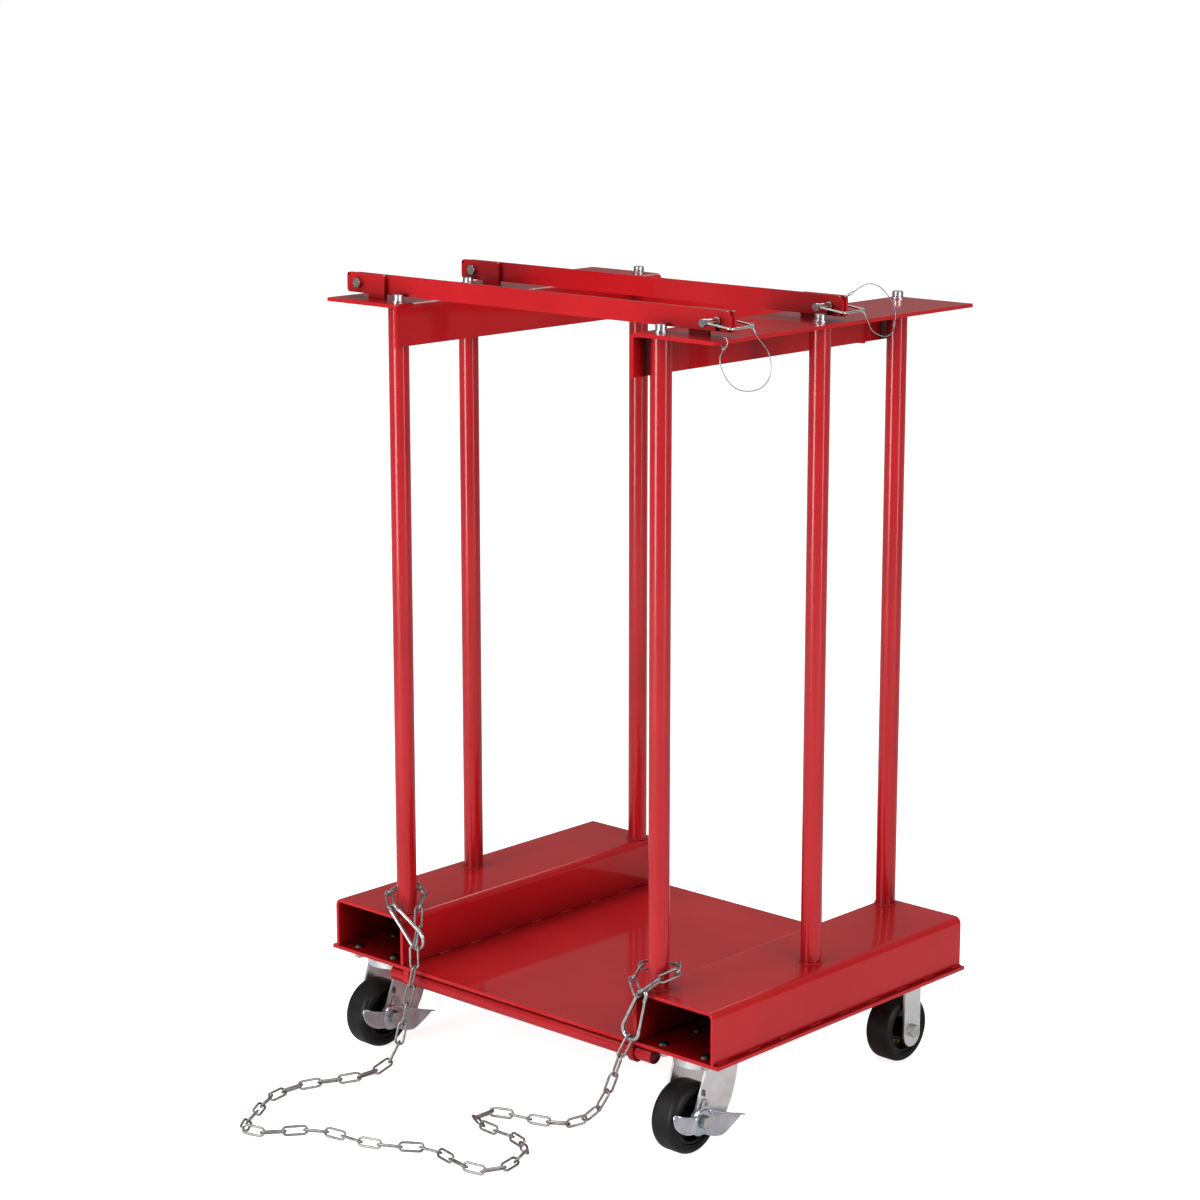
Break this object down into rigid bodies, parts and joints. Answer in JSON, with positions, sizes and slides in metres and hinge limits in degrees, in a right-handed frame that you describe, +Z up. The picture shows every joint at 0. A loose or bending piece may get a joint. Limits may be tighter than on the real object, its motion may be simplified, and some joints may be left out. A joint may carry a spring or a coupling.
{
  "type": "gas cylinder cart",
  "caption": "Rolling cart for tall gas cylinders: red steel deck with fork lift pockets, posts, top rails, swing-up bars with lock pins, a front chain and casters.",
  "frame": {"origin": "on the floor under the middle of the deck plate", "axes": "+Z up, +X to the right seen from the front, the chained front faces -Y"},
  "size_m": [0.8673, 1.0383, 1.3285],
  "materials": {
    "red_powder_coat": "glossy powder coat",
    "bright_zinc": "bright zinc plate",
    "satin_zinc": "satin zinc plate",
    "black_rubber": "moulded rubber",
    "wheel_core": "matt",
    "wire_rope": "stranded steel rope"
  },
  "bodies": {
    "root": {"deck_plate": "red_powder_coat", "fork_pocket_left": "red_powder_coat", "fork_pocket_right": "red_powder_coat", "post_front_left": "red_powder_coat", "post_front_right": "red_powder_coat", "post_middle_left": "red_powder_coat", "post_middle_right": "red_powder_coat", "post_rear_left": "red_powder_coat", "post_rear_right": "red_powder_coat", "top_rail_left": "red_powder_coat", "top_rail_right": "red_powder_coat", "rail_cap_bolts": "bright_zinc", "rear_cross_rail": "red_powder_coat", "front_pipe": "red_powder_coat", "pipe_hangers": "red_powder_coat", "front_bar_lugs": "red_powder_coat", "middle_bar_lugs": "red_powder_coat", "bar_pivot_bolts": "bright_zinc", "front_lanyard": "wire_rope", "middle_lanyard": "wire_rope", "lanyard_anchor_eyes": "bright_zinc", "chain_links": "bright_zinc", "post_chain_loop": "bright_zinc", "left_snap_hook": "bright_zinc", "right_snap_hook": "bright_zinc", "front_left_caster_plate": "satin_zinc", "front_right_caster_plate": "satin_zinc", "swivel_balls": "bright_zinc", "rear_left_caster_fork": "satin_zinc", "rear_right_caster_fork": "satin_zinc", "rear_bushings": "bright_zinc", "rear_axle_bolts": "bright_zinc", "caster_bolts": "satin_zinc", "caster_nuts": "bright_zinc"},
    "front_bar": {"front_bar": "red_powder_coat"},
    "middle_bar": {"middle_bar": "red_powder_coat"},
    "front_pin": {"front_lock_pin": "bright_zinc"},
    "middle_pin": {"middle_lock_pin": "bright_zinc"},
    "front_bail": {"front_pin_bail": "bright_zinc", "front_bail_eye": "bright_zinc"},
    "middle_bail": {"middle_pin_bail": "bright_zinc", "middle_bail_eye": "bright_zinc"},
    "left_gate": {"left_hook_gate": "bright_zinc"},
    "right_gate": {"right_hook_gate": "bright_zinc"},
    "front_left_swivel": {"front_left_caster_fork": "satin_zinc", "front_left_bushing": "bright_zinc", "front_left_axle_bolt": "bright_zinc"},
    "front_left_wheel": {"front_left_wheel": "wheel_core", "front_left_tyre": "black_rubber"},
    "front_left_brake": {"front_left_brake_pedal": "bright_zinc"},
    "rear_left_wheel": {"rear_left_wheel": "wheel_core", "rear_left_tyre": "black_rubber"},
    "front_right_swivel": {"front_right_caster_fork": "satin_zinc", "front_right_bushing": "bright_zinc", "front_right_axle_bolt": "bright_zinc"},
    "front_right_wheel": {"front_right_wheel": "wheel_core", "front_right_tyre": "black_rubber"},
    "front_right_brake": {"front_right_brake_pedal": "bright_zinc"},
    "rear_right_wheel": {"rear_right_wheel": "wheel_core", "rear_right_tyre": "black_rubber"}
  },
  "joints": [
    {"name": "front_bar_swing", "type": "hinge", "parent": "root", "child": "front_bar", "pos_m": [-0.38, -0.27, 1.2965], "axis": [0, -1, 0], "range_deg": [0, 95]},
    {"name": "front_pin_slide", "type": "slide", "parent": "root", "child": "front_pin", "axis": [0, -1, 0], "range_m": [0, 0.028]},
    {"name": "front_bail_swing", "type": "hinge", "parent": "front_pin", "child": "front_bail", "pos_m": [0.382, -0.304, 1.2965], "axis": [0.9945, 0, -0.1045], "range_deg": [0, 131]},
    {"name": "middle_bar_swing", "type": "hinge", "parent": "root", "child": "middle_bar", "pos_m": [-0.38, -0.007, 1.2965], "axis": [0, -1, 0], "range_deg": [0, 95]},
    {"name": "middle_pin_slide", "type": "slide", "parent": "root", "child": "middle_pin", "axis": [0, -1, 0], "range_m": [0, 0.028]},
    {"name": "middle_bail_swing", "type": "hinge", "parent": "middle_pin", "child": "middle_bail", "pos_m": [0.382, -0.041, 1.2965], "axis": [0.9945, 0, -0.1045], "range_deg": [0, 131]},
    {"name": "front_left_swivel_turn", "type": "hinge", "parent": "root", "child": "front_left_swivel", "pos_m": [-0.346, -0.255, 0.14], "axis": [0, 0, 1], "continuous": true},
    {"name": "front_left_wheel_roll", "type": "hinge", "parent": "front_left_swivel", "child": "front_left_wheel", "pos_m": [-0.346, -0.295, 0.05715], "axis": [1, 0, 0], "continuous": true},
    {"name": "front_left_brake_press", "type": "hinge", "parent": "front_left_swivel", "child": "front_left_brake", "pos_m": [-0.346, -0.295, 0.05715], "axis": [1, 0, 0], "range_deg": [0, 25]},
    {"name": "rear_left_wheel_roll", "type": "hinge", "parent": "root", "child": "rear_left_wheel", "pos_m": [-0.346, 0.246, 0.05715], "axis": [1, 0, 0], "continuous": true},
    {"name": "front_right_swivel_turn", "type": "hinge", "parent": "root", "child": "front_right_swivel", "pos_m": [0.346, -0.255, 0.14], "axis": [0, 0, 1], "continuous": true},
    {"name": "front_right_wheel_roll", "type": "hinge", "parent": "front_right_swivel", "child": "front_right_wheel", "pos_m": [0.346, -0.295, 0.05715], "axis": [1, 0, 0], "continuous": true},
    {"name": "front_right_brake_press", "type": "hinge", "parent": "front_right_swivel", "child": "front_right_brake", "pos_m": [0.346, -0.295, 0.05715], "axis": [1, 0, 0], "range_deg": [0, 25]},
    {"name": "rear_right_wheel_roll", "type": "hinge", "parent": "root", "child": "rear_right_wheel", "pos_m": [0.346, 0.246, 0.05715], "axis": [1, 0, 0], "continuous": true},
    {"name": "left_gate_open", "type": "hinge", "parent": "root", "child": "left_gate", "pos_m": [-0.26578, -0.322, 0.26477], "axis": [0, 1, 0], "range_deg": [0, 18], "stiffness_Nm_per_rad": 0.05, "springref_deg": -17.19},
    {"name": "right_gate_open", "type": "hinge", "parent": "root", "child": "right_gate", "pos_m": [0.293, -0.328, 0.24115], "axis": [0, 1, 0], "range_deg": [0, 18], "stiffness_Nm_per_rad": 0.05, "springref_deg": -17.19}
  ],
  "couplings": [
    {"joint": "front_bail_swing", "follows": "front_pin_slide", "rad_per_m": 81.03},
    {"joint": "middle_bail_swing", "follows": "middle_pin_slide", "rad_per_m": 81.03}
  ]
}
